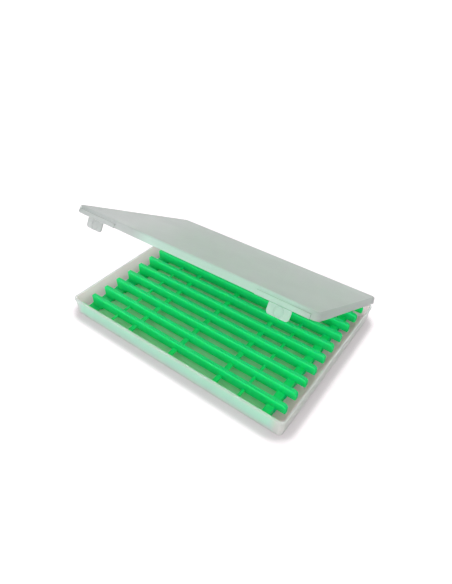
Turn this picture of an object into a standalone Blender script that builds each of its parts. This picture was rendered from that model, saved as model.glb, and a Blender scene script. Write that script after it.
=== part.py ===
"""A flat two-shell rig box with ten ladder winders lying side by side in its tray, lid half open.

Metres, +Z up, +X along the length, +Y to the hinge side. The origin is the middle of the tray's underside.
"""

import math

import bmesh
import bpy
from mathutils import Vector

MM = 0.001

# The two shells, which the winders' room settles
END_PLAY = 4.5 * MM
SIDE_PLAY = 0.4 * MM
HEADROOM = 4.2 * MM
LID_HEIGHT = 7.5 * MM
WALL = 1.3 * MM
FLOOR = 1.5 * MM
LID_TOP = 1.3 * MM
TRAY_DRAFT = 0.65 * MM
LID_DRAFT = 0.8 * MM
CORNER_RADIUS = 6 * MM
FOOT_RADIUS = 2.6 * MM
CREASE_RADIUS = 0.6 * MM
LID_EDGE_RADIUS = 2.4 * MM
BEAD_PROUD = 0.8 * MM
BEAD_HEIGHT = 2.3 * MM
EDGE_BREAK = 0.3 * MM
GAP = 0.3 * MM
OVERLAP = 0.6 * MM

# The snap hinge behind the back walls
LID_OPEN = math.radians(29.7)
HINGE_INSET = 45 * MM
HINGE_COUNT = 3
BARREL_LENGTH = 14 * MM
BARREL_RADIUS = 2.6 * MM
BARREL_CLEAR = 0.6 * MM
HINGE_DROP = 3.0 * MM
ARM_THICKNESS = 1.5 * MM
ARM_LAP = 3.4 * MM
LUG_WIDTH = 4.5 * MM
LUG_ROOT_HEIGHT = 6.5 * MM
PIN_RADIUS = 1.15 * MM
PIN_LENGTH = 3.6 * MM
SNAP_SLOT = 1.9 * MM

# The two latch tabs on the lid's front skirt
LATCH_INSET = 32 * MM
LATCH_WIDTH = 21 * MM
LATCH_THICKNESS = 1.4 * MM
LATCH_DROP = 10 * MM
LATCH_CORNER = 3 * MM
HOOK_HEIGHT = 1.3 * MM
HOOK_REACH = 0.7 * MM
PANEL_WIDTH = 50 * MM
PANEL_HEIGHT = 4.4 * MM

# The winders
WINDER_COUNT = 10
WINDER_PITCH = 19.5 * MM
WINDER_LENGTH = 265.5 * MM
WINDER_HEIGHT = 16.2 * MM
WINDER_SHIFT_SHARE = -1 / 3
RAIL_THICKNESS = 2.35 * MM
RAIL_HEIGHT = 12.3 * MM
RAIL_ROUNDING = 0.8 * MM
RUNG_THICKNESS = 1.6 * MM
RUNG_TOP_SHARE = 0.5
WIDE_RUNG = 5.6 * MM
NARROW_RUNG = 3.2 * MM
INNER_RUNG_SHARE = 0.44
OUTER_RUNG_SHARE = 0.655
BLOCK_WIDTH = 9 * MM
BLOCK_SETBACK = 10.5 * MM
BLOCK_HOLLOW = 0.6 * MM
FIN_HEIGHT = 10.3 * MM
FIN_NOSE_RADIUS = 4 * MM
FIN_CORNER_RADIUS = 1.2 * MM
HEEL_LENGTH = 17 * MM
HEEL_SETBACK = 3.3 * MM
HEEL_LEAN = 0.7 * MM
HEEL_NOSE_RADIUS = 1.5 * MM
HEEL_FLOOR = 2 * MM
FOOT_TIP_RADIUS = 1.1 * MM
FOOT_HEIGHT = 2.7 * MM
FILLET = 1.4 * MM

# Worked out from the sizes above
WINDER_WIDTH = WINDER_PITCH - GAP
WINDER_BOTTOM = FLOOR + GAP
WINDER_SHIFT = WINDER_SHIFT_SHARE * END_PLAY
SIDE_WALL = BEAD_PROUD + TRAY_DRAFT + WALL
BOX_LENGTH = WINDER_LENGTH + 2 * (END_PLAY + SIDE_WALL)
BOX_DEPTH = WINDER_COUNT * WINDER_PITCH - GAP + 2 * (SIDE_PLAY + SIDE_WALL)
TRAY_HEIGHT = WINDER_BOTTOM + WINDER_HEIGHT + HEADROOM
HINGE_SPACING = (BOX_LENGTH - 2 * HINGE_INSET) / (HINGE_COUNT - 1)
LATCH_SPACING = BOX_LENGTH - 2 * LATCH_INSET
HINGE_Y = BOX_DEPTH / 2 + BARREL_RADIUS + BARREL_CLEAR
HINGE_Z = TRAY_HEIGHT - HINGE_DROP
LID_BOTTOM = TRAY_HEIGHT + GAP
LID_TOP_Z = LID_BOTTOM + LID_HEIGHT
PIN_HOLE_RADIUS = PIN_RADIUS + GAP
LUG_RADIUS = BARREL_RADIUS + GAP
TAB_BACK_Y = -BOX_DEPTH / 2 - GAP
TAB_FRONT_Y = TAB_BACK_Y - LATCH_THICKNESS
FLEX_AXIS_Y = (TAB_BACK_Y + TAB_FRONT_Y) / 2
FLEX_AXIS_Z = LID_BOTTOM
RUNG_TOP = WINDER_HEIGHT * RUNG_TOP_SHARE
RAIL_BOTTOM = WINDER_HEIGHT - RAIL_HEIGHT

# Points on each curve
CORNER_STEPS = 4
ROUND_STEPS = 3
CIRCLE_STEPS = 16
NOSE_STEPS = 4
FILLET_STEPS = 1
FOOT_STEPS = 2


def arc(centre, radius, start, end, steps, squash=1.0):
    """Points on an arc from start to end in degrees, with the second direction scaled by squash."""
    points = []
    for step in range(steps + 1):
        angle = math.radians(start + (end - start) * step / steps)
        across = centre[0] + radius * math.cos(angle)
        up = centre[1] + radius * squash * math.sin(angle)
        points.append((across, up))
    return points


def plastic(name, colour, roughness, clear=0.0):
    """A moulded plastic; clear is the share of light that it lets through."""
    material = bpy.data.materials.new(name)
    material.use_nodes = True
    shader = material.node_tree.nodes["Principled BSDF"]
    shader.inputs["Base Color"].default_value = (*colour, 1.0)
    shader.inputs["Roughness"].default_value = roughness
    shader.inputs["Metallic"].default_value = 0.0
    shader.inputs["Transmission Weight"].default_value = clear
    material.diffuse_color = (*colour, 1.0)
    return material


def finish_mesh(name, bm):
    """Faces turned outwards and edges under 30 degrees smoothed."""
    bmesh.ops.recalc_face_normals(bm, faces=bm.faces)
    mesh = bpy.data.meshes.new(name)
    bm.to_mesh(mesh)
    bm.free()
    mesh.shade_smooth()
    mesh.set_sharp_from_angle(angle=math.radians(30))
    return mesh


def loft(name, rings):
    """A closed solid through rings of equally many points, with the first and the last ring capped."""
    bm = bmesh.new()
    loops = [[bm.verts.new(point) for point in ring] for ring in rings]
    for lower, upper in zip(loops, loops[1:]):
        for i in range(len(lower)):
            j = (i + 1) % len(lower)
            bm.faces.new((lower[i], lower[j], upper[j], upper[i]))
    bm.faces.new(loops[0])
    bm.faces.new(loops[-1])
    return finish_mesh(name, bm)


def plan_ring(inset, z):
    """The box's rounded plan, drawn in by inset, at height z."""
    radius = CORNER_RADIUS - inset
    across = BOX_LENGTH / 2 - CORNER_RADIUS
    deep = BOX_DEPTH / 2 - CORNER_RADIUS
    ring = []
    for side, front, start in ((1, 1, 0), (-1, 1, 90), (-1, -1, 180), (1, -1, 270)):
        centre = (side * across, front * deep)
        for x, y in arc(centre, radius, start, start + 90, CORNER_STEPS):
            ring.append(Vector((x, y, z)))
    return ring


def along_x(name, outline, start, end):
    """A prism of a (y, z) outline from x = start to x = end."""
    rings = [[Vector((x, y, z)) for y, z in outline] for x in (start, end)]
    return loft(name, rings)


def along_y(name, outline, start, end):
    """A prism of an (x, z) outline from y = start to y = end."""
    rings = [[Vector((x, y, z)) for x, z in outline] for y in (start, end)]
    return loft(name, rings)


def rectangle(low, high):
    return [(low[0], low[1]), (high[0], low[1]), (high[0], high[1]), (low[0], high[1])]


def circle(centre, radius):
    return arc(centre, radius, 0, 360, CIRCLE_STEPS)[:-1]


def place(name, mesh, material=None, parent=None, location=(0, 0, 0)):
    thing = bpy.data.objects.new(name, mesh)
    bpy.context.scene.collection.objects.link(thing)
    thing.parent = parent
    thing.location = location
    if material:
        mesh.materials.clear()
        mesh.materials.append(material)
    return thing


def fused(name, body, added=(), removed=()):
    """One mesh of the body with the added meshes joined to it and the removed ones cut from it."""
    target = place(name, body)
    helpers = []
    for operation, meshes in (("UNION", added), ("DIFFERENCE", removed)):
        for mesh in meshes:
            helper = place(name + "_helper", mesh)
            modifier = target.modifiers.new(mesh.name, "BOOLEAN")
            modifier.operation = operation
            modifier.object = helper
            helpers.append(helper)
    bpy.context.view_layer.update()
    graph = bpy.context.evaluated_depsgraph_get()
    mesh = bpy.data.meshes.new_from_object(target.evaluated_get(graph))
    mesh.name = name
    for thing in (target, *helpers):
        bpy.data.objects.remove(thing)
    mesh.shade_smooth()
    mesh.set_sharp_from_angle(angle=math.radians(30))
    return mesh


def moved(mesh, offset):
    for vertex in mesh.vertices:
        vertex.co += offset
    return mesh


def hinge_places():
    first = -HINGE_SPACING * (HINGE_COUNT - 1) / 2
    return [first + HINGE_SPACING * i for i in range(HINGE_COUNT)]


def tray_shell():
    """The tray's wall, floor and rim bead as one shell, open at the top."""
    outer = BEAD_PROUD + TRAY_DRAFT
    inner = outer + WALL
    rim_inner = BEAD_PROUD + WALL
    under_bead = TRAY_HEIGHT - BEAD_HEIGHT
    rings = []
    for away, up in arc((outer + FOOT_RADIUS, FOOT_RADIUS), FOOT_RADIUS, 270, 180, ROUND_STEPS):
        rings.append(plan_ring(away, up))
    rings.append(plan_ring(BEAD_PROUD, under_bead))
    rings.append(plan_ring(0, under_bead + EDGE_BREAK))
    rings.append(plan_ring(0, TRAY_HEIGHT - EDGE_BREAK))
    rings.append(plan_ring(EDGE_BREAK, TRAY_HEIGHT))
    rings.append(plan_ring(rim_inner - EDGE_BREAK, TRAY_HEIGHT))
    rings.append(plan_ring(rim_inner, TRAY_HEIGHT - EDGE_BREAK))
    crease = (inner + CREASE_RADIUS, FLOOR + CREASE_RADIUS)
    for away, up in arc(crease, CREASE_RADIUS, 180, 270, ROUND_STEPS):
        rings.append(plan_ring(away, up))
    return loft("tray_shell", rings)


def lug(x):
    """One bored ear of the hinge, rooted in the tray's back wall."""
    root_y = BOX_DEPTH / 2 - BEAD_PROUD - WALL / 2
    root_top = TRAY_HEIGHT - EDGE_BREAK - GAP
    outline = [(root_y, root_top - LUG_ROOT_HEIGHT), (root_y, root_top)]
    outline += arc((HINGE_Y, HINGE_Z), LUG_RADIUS, 110, -70, CIRCLE_STEPS // 2)
    start = x - LUG_WIDTH / 2
    return along_x("lug", outline, start, start + LUG_WIDTH)


def base_tray(material):
    lugs = []
    bores = []
    for x in hinge_places():
        for side in (-1, 1):
            middle = x + side * (BARREL_LENGTH / 2 + GAP + LUG_WIDTH / 2)
            lugs.append(lug(middle))
            low = middle - LUG_WIDTH / 2 - OVERLAP
            high = middle + LUG_WIDTH / 2 + OVERLAP
            bores.append(along_x("bore", circle((HINGE_Y, HINGE_Z), PIN_HOLE_RADIUS), low, high))
            slot_low = (HINGE_Y, HINGE_Z - SNAP_SLOT / 2)
            slot_high = (HINGE_Y + LUG_RADIUS + OVERLAP, HINGE_Z + SNAP_SLOT / 2)
            bores.append(along_x("slot", rectangle(slot_low, slot_high), low, high))
    mesh = fused("base_tray", tray_shell(), lugs, bores)
    return place("base_tray", mesh, material)


def lid_shell():
    """The lid's top and skirt as one shell, open below, where it lies when the box is shut."""
    inner = WALL + LID_DRAFT
    ceiling = LID_TOP_Z - LID_TOP
    rings = []
    crease = (inner + CREASE_RADIUS, ceiling - CREASE_RADIUS)
    for away, up in arc(crease, CREASE_RADIUS, 90, 180, ROUND_STEPS):
        rings.append(plan_ring(away, up))
    rings.append(plan_ring(WALL, LID_BOTTOM))
    rings.append(plan_ring(0, LID_BOTTOM))
    edge = (LID_DRAFT + LID_EDGE_RADIUS, LID_TOP_Z - LID_EDGE_RADIUS)
    for away, up in arc(edge, LID_EDGE_RADIUS, 180, 90, ROUND_STEPS):
        rings.append(plan_ring(away, up))
    return loft("lid_shell", rings)


def lid_barrel(x):
    """A hinge barrel with its two stub pins and the arm that carries it on the lid's back skirt."""
    low = x - BARREL_LENGTH / 2
    high = x + BARREL_LENGTH / 2
    centre = (HINGE_Y, HINGE_Z)
    barrel = along_x("barrel", circle(centre, BARREL_RADIUS), low, high)
    pins = along_x("pins", circle(centre, PIN_RADIUS), low - PIN_LENGTH, high + PIN_LENGTH)
    arm_low = (BOX_DEPTH / 2 + GAP, HINGE_Z)
    arm_high = (BOX_DEPTH / 2 + GAP + ARM_THICKNESS, LID_BOTTOM + ARM_LAP)
    arm = along_x("arm", rectangle(arm_low, arm_high), low, high)
    lap_low = (BOX_DEPTH / 2 - LID_DRAFT - WALL / 2, LID_BOTTOM + OVERLAP / 2)
    lap_high = (BOX_DEPTH / 2 + GAP + ARM_THICKNESS / 2, LID_BOTTOM + ARM_LAP)
    lap = along_x("lap", rectangle(lap_low, lap_high), low + OVERLAP / 2, high - OVERLAP / 2)
    return [arm, lap, barrel, pins]


def lid(material, hinge):
    added = []
    for x in hinge_places():
        added += lid_barrel(x)
    for side in (-1, 1):
        middle = side * LATCH_SPACING / 2
        low = (TAB_FRONT_Y, LID_BOTTOM)
        high = (-BOX_DEPTH / 2 + LID_DRAFT + WALL / 2, LID_BOTTOM + PANEL_HEIGHT)
        left = middle - PANEL_WIDTH / 2
        added.append(along_x("panel", rectangle(low, high), left, left + PANEL_WIDTH))
    mesh = fused("lid", lid_shell(), added)
    moved(mesh, Vector((0, -HINGE_Y, -HINGE_Z)))
    return place("lid", mesh, material, hinge)


def latch(name, x, material, hinge):
    """A tab with round lower corners and a hook ridge behind it, hung from its flex axis."""
    top = LID_BOTTOM - GAP
    half = LATCH_WIDTH / 2
    low = top - LATCH_DROP
    outline = [(-half, top)]
    outline += arc((-half + LATCH_CORNER, low + LATCH_CORNER), LATCH_CORNER, 180, 270, ROUND_STEPS)
    outline += arc((half - LATCH_CORNER, low + LATCH_CORNER), LATCH_CORNER, 270, 360, ROUND_STEPS)
    outline += [(half, top)]
    plate = along_y("plate", outline, TAB_FRONT_Y, TAB_BACK_Y)
    hook_top = TRAY_HEIGHT - BEAD_HEIGHT - GAP
    hook_half = half - LATCH_CORNER
    hook = [
        (TAB_BACK_Y - LATCH_THICKNESS / 2, hook_top - HOOK_HEIGHT),
        (TAB_BACK_Y, hook_top - HOOK_HEIGHT),
        (TAB_BACK_Y + HOOK_REACH, hook_top - HOOK_HEIGHT / 2),
        (TAB_BACK_Y + HOOK_REACH, hook_top),
        (TAB_BACK_Y - LATCH_THICKNESS / 2, hook_top),
    ]
    mesh = fused(name, plate, [along_x("hook", hook, -hook_half, hook_half)])
    moved(mesh, Vector((0, -FLEX_AXIS_Y, -FLEX_AXIS_Z)))
    from_hinge = (x, FLEX_AXIS_Y - HINGE_Y, FLEX_AXIS_Z - HINGE_Z)
    return place(name, mesh, material, hinge, from_hinge)


def fin_end():
    """The right end of a side plate from the top down: a fin that juts out over the end block."""
    tip = WINDER_LENGTH / 2
    low = WINDER_HEIGHT - FIN_HEIGHT
    outer = tip - BLOCK_SETBACK
    inner = outer - BLOCK_WIDTH
    nose = (tip - FIN_NOSE_RADIUS, WINDER_HEIGHT - FIN_NOSE_RADIUS)
    points = arc(nose, FIN_NOSE_RADIUS, 90, 0, NOSE_STEPS)
    corner = (tip - FIN_CORNER_RADIUS, low + FIN_CORNER_RADIUS)
    points += arc(corner, FIN_CORNER_RADIUS, 0, -90, FOOT_STEPS)
    points += arc((outer + FILLET, low - FILLET), FILLET, 90, 180, FILLET_STEPS)
    points.append((outer, 0))
    points.append((inner, 0))
    points += arc((inner - FILLET, RAIL_BOTTOM - FILLET), FILLET, 0, 90, FILLET_STEPS)
    return points


def heel_end():
    """The left end from the rail's underside up: a full plate with a low foot and a small nose."""
    tip = -WINDER_LENGTH / 2
    inner = tip + HEEL_LENGTH
    edge = tip + HEEL_SETBACK
    points = arc((inner + FILLET, RAIL_BOTTOM - FILLET), FILLET, 90, 180, FILLET_STEPS)
    points.append((inner, 0))
    points += arc((tip + FOOT_TIP_RADIUS, FOOT_TIP_RADIUS), FOOT_TIP_RADIUS, 270, 90, 2 * FOOT_STEPS)
    points.append((edge + HEEL_LEAN, FOOT_HEIGHT))
    nose = (edge + HEEL_NOSE_RADIUS, WINDER_HEIGHT - HEEL_NOSE_RADIUS)
    points += arc(nose, HEEL_NOSE_RADIUS, 180, 90, FOOT_STEPS)
    return points


def drawn_in(outline, inset):
    """The outline with every corner moved inwards by about inset."""
    points = [Vector(point) for point in outline]
    result = []
    for i, point in enumerate(points):
        before = (point - points[i - 1]).normalized()
        after = (points[(i + 1) % len(points)] - point).normalized()
        along = (before + after).normalized()
        result.append(point + inset * Vector((along.y, -along.x)))
    return result


def side_plate(side):
    """One rail with its fin and heel, softened more towards the channel than towards its neighbour."""
    outline = fin_end() + heel_end()
    outside = WINDER_WIDTH / 2
    sections = (
        (0, EDGE_BREAK),
        (EDGE_BREAK, 0),
        (RAIL_THICKNESS - RAIL_ROUNDING, 0),
        (RAIL_THICKNESS, RAIL_ROUNDING),
    )
    rings = []
    for inwards, inset in sections:
        y = side * (outside - inwards)
        rings.append([Vector((x, y, z)) for x, z in drawn_in(outline, inset)])
    return loft("side_plate", rings)


def end_block():
    """The block between the two fins, a little in from their faces and hollowed outside for the line."""
    outer = WINDER_LENGTH / 2 - BLOCK_SETBACK - EDGE_BREAK
    inner = outer - BLOCK_WIDTH + 2 * EDGE_BREAK
    outline = [(inner, EDGE_BREAK), (outer, EDGE_BREAK), (outer - BLOCK_HOLLOW, RUNG_TOP / 2)]
    outline += [(outer, RUNG_TOP), (inner, RUNG_TOP)]
    return along_y("end_block", outline, -channel_reach(), channel_reach())


def heel_floor():
    """The low plate that joins the two side plates at the left end."""
    tip = -WINDER_LENGTH / 2
    low = (tip + FOOT_TIP_RADIUS, EDGE_BREAK)
    high = (tip + HEEL_LENGTH - FILLET, HEEL_FLOOR)
    return along_y("heel_floor", rectangle(low, high), -channel_reach(), channel_reach())


def channel_reach():
    """How far from the middle a rung or a block runs: well into the rails."""
    return WINDER_WIDTH / 2 - RAIL_THICKNESS / 3


def rung(x, width):
    low = (x - width / 2, RUNG_TOP - RUNG_THICKNESS)
    high = (x + width / 2, RUNG_TOP)
    return along_y("rung", rectangle(low, high), -channel_reach(), channel_reach())


def winder_mesh():
    rungs = [rung(0, WIDE_RUNG)]
    for half in (-WINDER_LENGTH / 2, WINDER_LENGTH / 2):
        rungs.append(rung(half * INNER_RUNG_SHARE, WIDE_RUNG))
        rungs.append(rung(half * OUTER_RUNG_SHARE, NARROW_RUNG))
    added = [side_plate(-1), heel_floor(), end_block(), *rungs]
    return fused("winder", side_plate(1), added)


def winders(material):
    mesh = winder_mesh()
    first = -WINDER_PITCH * (WINDER_COUNT - 1) / 2
    for i in range(WINDER_COUNT):
        spot = (WINDER_SHIFT, first + WINDER_PITCH * i, WINDER_BOTTOM)
        place(f"winder_{i + 1:02d}", mesh, material, location=spot)


def hinge_axis():
    """The lid's axis, turned to where the lid stands half open."""
    axis = bpy.data.objects.new("lid_hinge", None)
    bpy.context.scene.collection.objects.link(axis)
    axis.location = (0, HINGE_Y, HINGE_Z)
    axis.rotation_euler = (-LID_OPEN, 0, 0)
    return axis


def main():
    for thing in list(bpy.data.objects):
        bpy.data.objects.remove(thing)
    base_tray(plastic("tray_polypropylene", (0.62, 0.72, 0.67), 0.35, 0.6))
    hinge = hinge_axis()
    lid(plastic("lid_polypropylene", (0.55, 0.58, 0.56), 0.4, 0.6), hinge)
    tab_plastic = plastic("latch_polypropylene", (0.5, 0.68, 0.58), 0.4, 0.5)
    latch("latch_left", -LATCH_SPACING / 2, tab_plastic, hinge)
    latch("latch_right", LATCH_SPACING / 2, tab_plastic, hinge)
    winders(plastic("winder_green", (0.0, 0.58, 0.12), 0.35))
    bpy.context.view_layer.update()


main()
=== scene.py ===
"""The fishing rig box as it is seen: two milky shells, two latch tabs and ten green winders.

Metres, +Z up, +X along the length, +Y to the hinge side. The origin is the middle of the tray's underside.
"""

import math

import bmesh
import bpy
from bpy.props import FloatProperty, FloatVectorProperty, IntProperty, PointerProperty
from mathutils import Euler, Matrix, Vector


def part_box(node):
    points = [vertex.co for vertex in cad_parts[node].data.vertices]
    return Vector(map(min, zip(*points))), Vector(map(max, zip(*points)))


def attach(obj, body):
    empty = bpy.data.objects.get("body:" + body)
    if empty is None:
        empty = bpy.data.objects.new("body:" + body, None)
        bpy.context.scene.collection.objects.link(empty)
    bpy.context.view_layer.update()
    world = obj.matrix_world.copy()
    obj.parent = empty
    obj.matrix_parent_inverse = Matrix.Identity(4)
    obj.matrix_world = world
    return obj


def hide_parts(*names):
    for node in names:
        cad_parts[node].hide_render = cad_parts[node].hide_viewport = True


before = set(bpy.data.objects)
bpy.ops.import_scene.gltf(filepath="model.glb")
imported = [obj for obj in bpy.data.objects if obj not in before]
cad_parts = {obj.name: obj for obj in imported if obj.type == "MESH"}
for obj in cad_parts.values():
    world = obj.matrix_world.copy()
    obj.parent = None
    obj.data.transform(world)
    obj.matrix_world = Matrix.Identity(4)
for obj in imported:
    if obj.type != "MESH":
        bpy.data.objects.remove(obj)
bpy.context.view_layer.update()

bl_info = {
    "name": "Fishing Rig Box",
    "version": (1, 0, 0),
    "blender": (4, 5, 0),
    "location": "View3D > Sidebar > Rig Box",
    "description": "Builds a half open rig box with ten ladder winders",
    "category": "Object",
}

MM = 0.001
TRAY_LOW, TRAY_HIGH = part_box("base_tray")
WINDER_LOW, WINDER_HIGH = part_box("winder_01")
NEXT_WINDER_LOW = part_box("winder_02")[0]

# Points on each curve
CORNER_STEPS = 14
ROUND_STEPS = 6
EDGE_STEPS = 3
CIRCLE_STEPS = 40
NOSE_STEPS = 14
FILLET_STEPS = 5
HOLLOW_STEPS = 12
FOOT_STEPS = 6
LID_EDGE_STEPS = 8
LUG_STEPS = 20
RING_STEPS = 64
RING_SECTION_STEPS = 12

# Shapes
SMOOTH_ANGLE = math.radians(30)
LEVEL = 0.9  # a face is level if its normal's Z is over this
EDGE_SHARE = 0.3  # the middle point of a rounded edge, as a share of its radius
LUG_ARC = (110, -70)  # degrees between which an ear runs round its bore
MARK_SHARES = (3 / 8, 1 / 3)  # how far from the middle the outer ejector marks lie, along and across

# How softly each painted green, the winders' light, ends
WALL_END_FADE = 6 * MM
WALL_BAND_FADE = 7 * MM
FLOOR_FADE = 8 * MM
SKIRT_FADE = 20 * MM

# Stage
# The floor's glow fades with its open sky near the box, which paints part of the box's narrow shadow
DARK_SHARE = 0.72  # share of open sky up to which the floor has no glow
LIGHT_SHARE = 0.95  # share of open sky from which the floor glows fully
SENSOR_WIDTH = 36  # millimetres, as the camera counts them
CLIP_START = 10 * MM
FLOOR_DROP = 0.1 * MM
FLOOR_THICKNESS = 1 * MM


def linear(code):
    """An sRGB hex code as linear red, green and blue."""
    result = []
    for start in (1, 3, 5):
        value = int(code[start:start + 2], 16) / 255
        result.append(value / 12.92 if value <= 0.04045 else ((value + 0.055) / 1.055) ** 2.4)
    return tuple(result)


class RigBoxShells(bpy.types.PropertyGroup):
    """The tray and the lid."""

    length: FloatProperty(
        name="Length", description="Outside length over the rim bead",
        default=TRAY_HIGH.x - TRAY_LOW.x, unit="LENGTH")
    depth: FloatProperty(
        name="Depth", description="Outside depth over the rim bead, without the hinge",
        default=-2 * TRAY_LOW.y, unit="LENGTH")
    tray_height: FloatProperty(
        name="Tray height", description="From the underside to the rim", default=TRAY_HIGH.z, unit="LENGTH")
    lid_height: FloatProperty(
        name="Lid height", description="From the skirt's lower edge to the top",
        default=7.5 * MM, unit="LENGTH")
    wall: FloatProperty(
        name="Wall", description="Thickness of the tray's wall and the lid's skirt",
        default=1.3 * MM, unit="LENGTH")
    floor: FloatProperty(
        name="Floor", description="Thickness of the tray's floor", default=1.5 * MM, unit="LENGTH")
    lid_top: FloatProperty(
        name="Lid top", description="Thickness of the lid's top", default=1.3 * MM, unit="LENGTH")
    tray_draft: FloatProperty(
        name="Tray draft", description="How far the tray's wall leans in at its foot",
        default=0.65 * MM, unit="LENGTH")
    lid_draft: FloatProperty(
        name="Lid draft", description="How far the lid's skirt leans in at its top",
        default=0.8 * MM, unit="LENGTH")
    corner_radius: FloatProperty(
        name="Corner radius", description="Radius of the four corners", default=6 * MM, unit="LENGTH")
    foot_radius: FloatProperty(
        name="Foot radius", description="Rounding round the tray's underside",
        default=2.6 * MM, unit="LENGTH")
    crease_radius: FloatProperty(
        name="Crease radius", description="Rounding inside, between wall and floor",
        default=0.6 * MM, unit="LENGTH")
    lid_edge_radius: FloatProperty(
        name="Lid edge radius", description="Rounding round the lid's top", default=2.4 * MM, unit="LENGTH")
    bead_proud: FloatProperty(
        name="Bead proud", description="How far the rim bead stands out", default=0.8 * MM, unit="LENGTH")
    bead_height: FloatProperty(
        name="Bead height", description="Height of the rim bead", default=2.3 * MM, unit="LENGTH")
    edge_break: FloatProperty(
        name="Edge break", description="Rounding of the shells' and tabs' other edges",
        default=0.3 * MM, unit="LENGTH")
    gap: FloatProperty(
        name="Gap", description="Play between neighbouring pieces", default=0.3 * MM, unit="LENGTH")
    mark_radius: FloatProperty(
        name="Ejector mark radius", description="Radius of the round marks on the hidden sides",
        default=4 * MM, unit="LENGTH")
    mark_depth: FloatProperty(
        name="Ejector mark depth", description="Depth of the round marks", default=0.15 * MM, unit="LENGTH")

    @property
    def lid_bottom(self):
        return self.tray_height + self.gap

    @property
    def lid_top_z(self):
        return self.lid_bottom + self.lid_height


class RigBoxHinge(bpy.types.PropertyGroup):
    """The moulded snap hinge at the back."""

    open_angle: FloatProperty(
        name="Open angle", description="How far the lid stands open",
        default=math.radians(29.7), subtype="ANGLE")
    count: IntProperty(name="Count", description="Number of hinges", default=3)
    inset: FloatProperty(
        name="Inset", description="From the box's end to the outer hinge", default=45 * MM, unit="LENGTH")
    barrel_length: FloatProperty(
        name="Barrel length", description="Length of a barrel", default=14 * MM, unit="LENGTH")
    barrel_radius: FloatProperty(
        name="Barrel radius", description="Radius of a barrel", default=2.6 * MM, unit="LENGTH")
    barrel_clear: FloatProperty(
        name="Barrel clear", description="Room between the rim and a barrel",
        default=0.6 * MM, unit="LENGTH")
    drop: FloatProperty(
        name="Drop", description="From the rim down to the hinge's axis", default=3 * MM, unit="LENGTH")
    arm_thickness: FloatProperty(
        name="Arm thickness", description="Thickness of the arm above a barrel",
        default=1.5 * MM, unit="LENGTH")
    arm_lap: FloatProperty(
        name="Arm lap", description="How far the arm laps over the skirt", default=3.4 * MM, unit="LENGTH")
    lug_width: FloatProperty(
        name="Lug width", description="Width of a bored ear", default=4.5 * MM, unit="LENGTH")
    lug_root_height: FloatProperty(
        name="Lug root", description="Height of an ear where it meets the wall",
        default=6.5 * MM, unit="LENGTH")
    pin_radius: FloatProperty(
        name="Pin radius", description="Radius of the stub pins", default=1.15 * MM, unit="LENGTH")
    pin_length: FloatProperty(
        name="Pin length", description="Length of the stub pins", default=3.6 * MM, unit="LENGTH")
    snap_slot: FloatProperty(
        name="Snap slot", description="Mouth through which a pin snaps in", default=1.9 * MM, unit="LENGTH")


class RigBoxLatches(bpy.types.PropertyGroup):
    """The two latch tabs on the lid's front skirt and the raised panels above them."""

    inset: FloatProperty(
        name="Inset", description="From the box's end to a tab's middle", default=32 * MM, unit="LENGTH")
    width: FloatProperty(name="Width", description="Width of a tab", default=21 * MM, unit="LENGTH")
    thickness: FloatProperty(
        name="Thickness", description="Thickness of a tab", default=1.4 * MM, unit="LENGTH")
    drop: FloatProperty(
        name="Drop", description="Length of a tab below the skirt", default=10 * MM, unit="LENGTH")
    corner: FloatProperty(
        name="Corner", description="Radius of a tab's lower corners", default=3 * MM, unit="LENGTH")
    hook_height: FloatProperty(
        name="Hook height", description="Height of the hook ridge", default=1.3 * MM, unit="LENGTH")
    hook_reach: FloatProperty(
        name="Hook reach", description="How far the hook ridge stands in", default=0.7 * MM, unit="LENGTH")
    panel_width: FloatProperty(
        name="Panel width", description="Width of a raised panel", default=50 * MM, unit="LENGTH")
    panel_height: FloatProperty(
        name="Panel height", description="Height of a raised panel", default=4.4 * MM, unit="LENGTH")
    ring_radius: FloatProperty(
        name="Ring radius", description="Radius of the thumb ring on a tab",
        default=4.4 * MM, unit="LENGTH")
    ring_thickness: FloatProperty(
        name="Ring thickness", description="Thickness of the thumb ring", default=1.2 * MM, unit="LENGTH")
    recess_radius: FloatProperty(
        name="Recess radius", description="Radius of the flat recess in the ring",
        default=3.3 * MM, unit="LENGTH")
    recess_depth: FloatProperty(
        name="Recess depth", description="Depth of the recess", default=0.5 * MM, unit="LENGTH")


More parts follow.
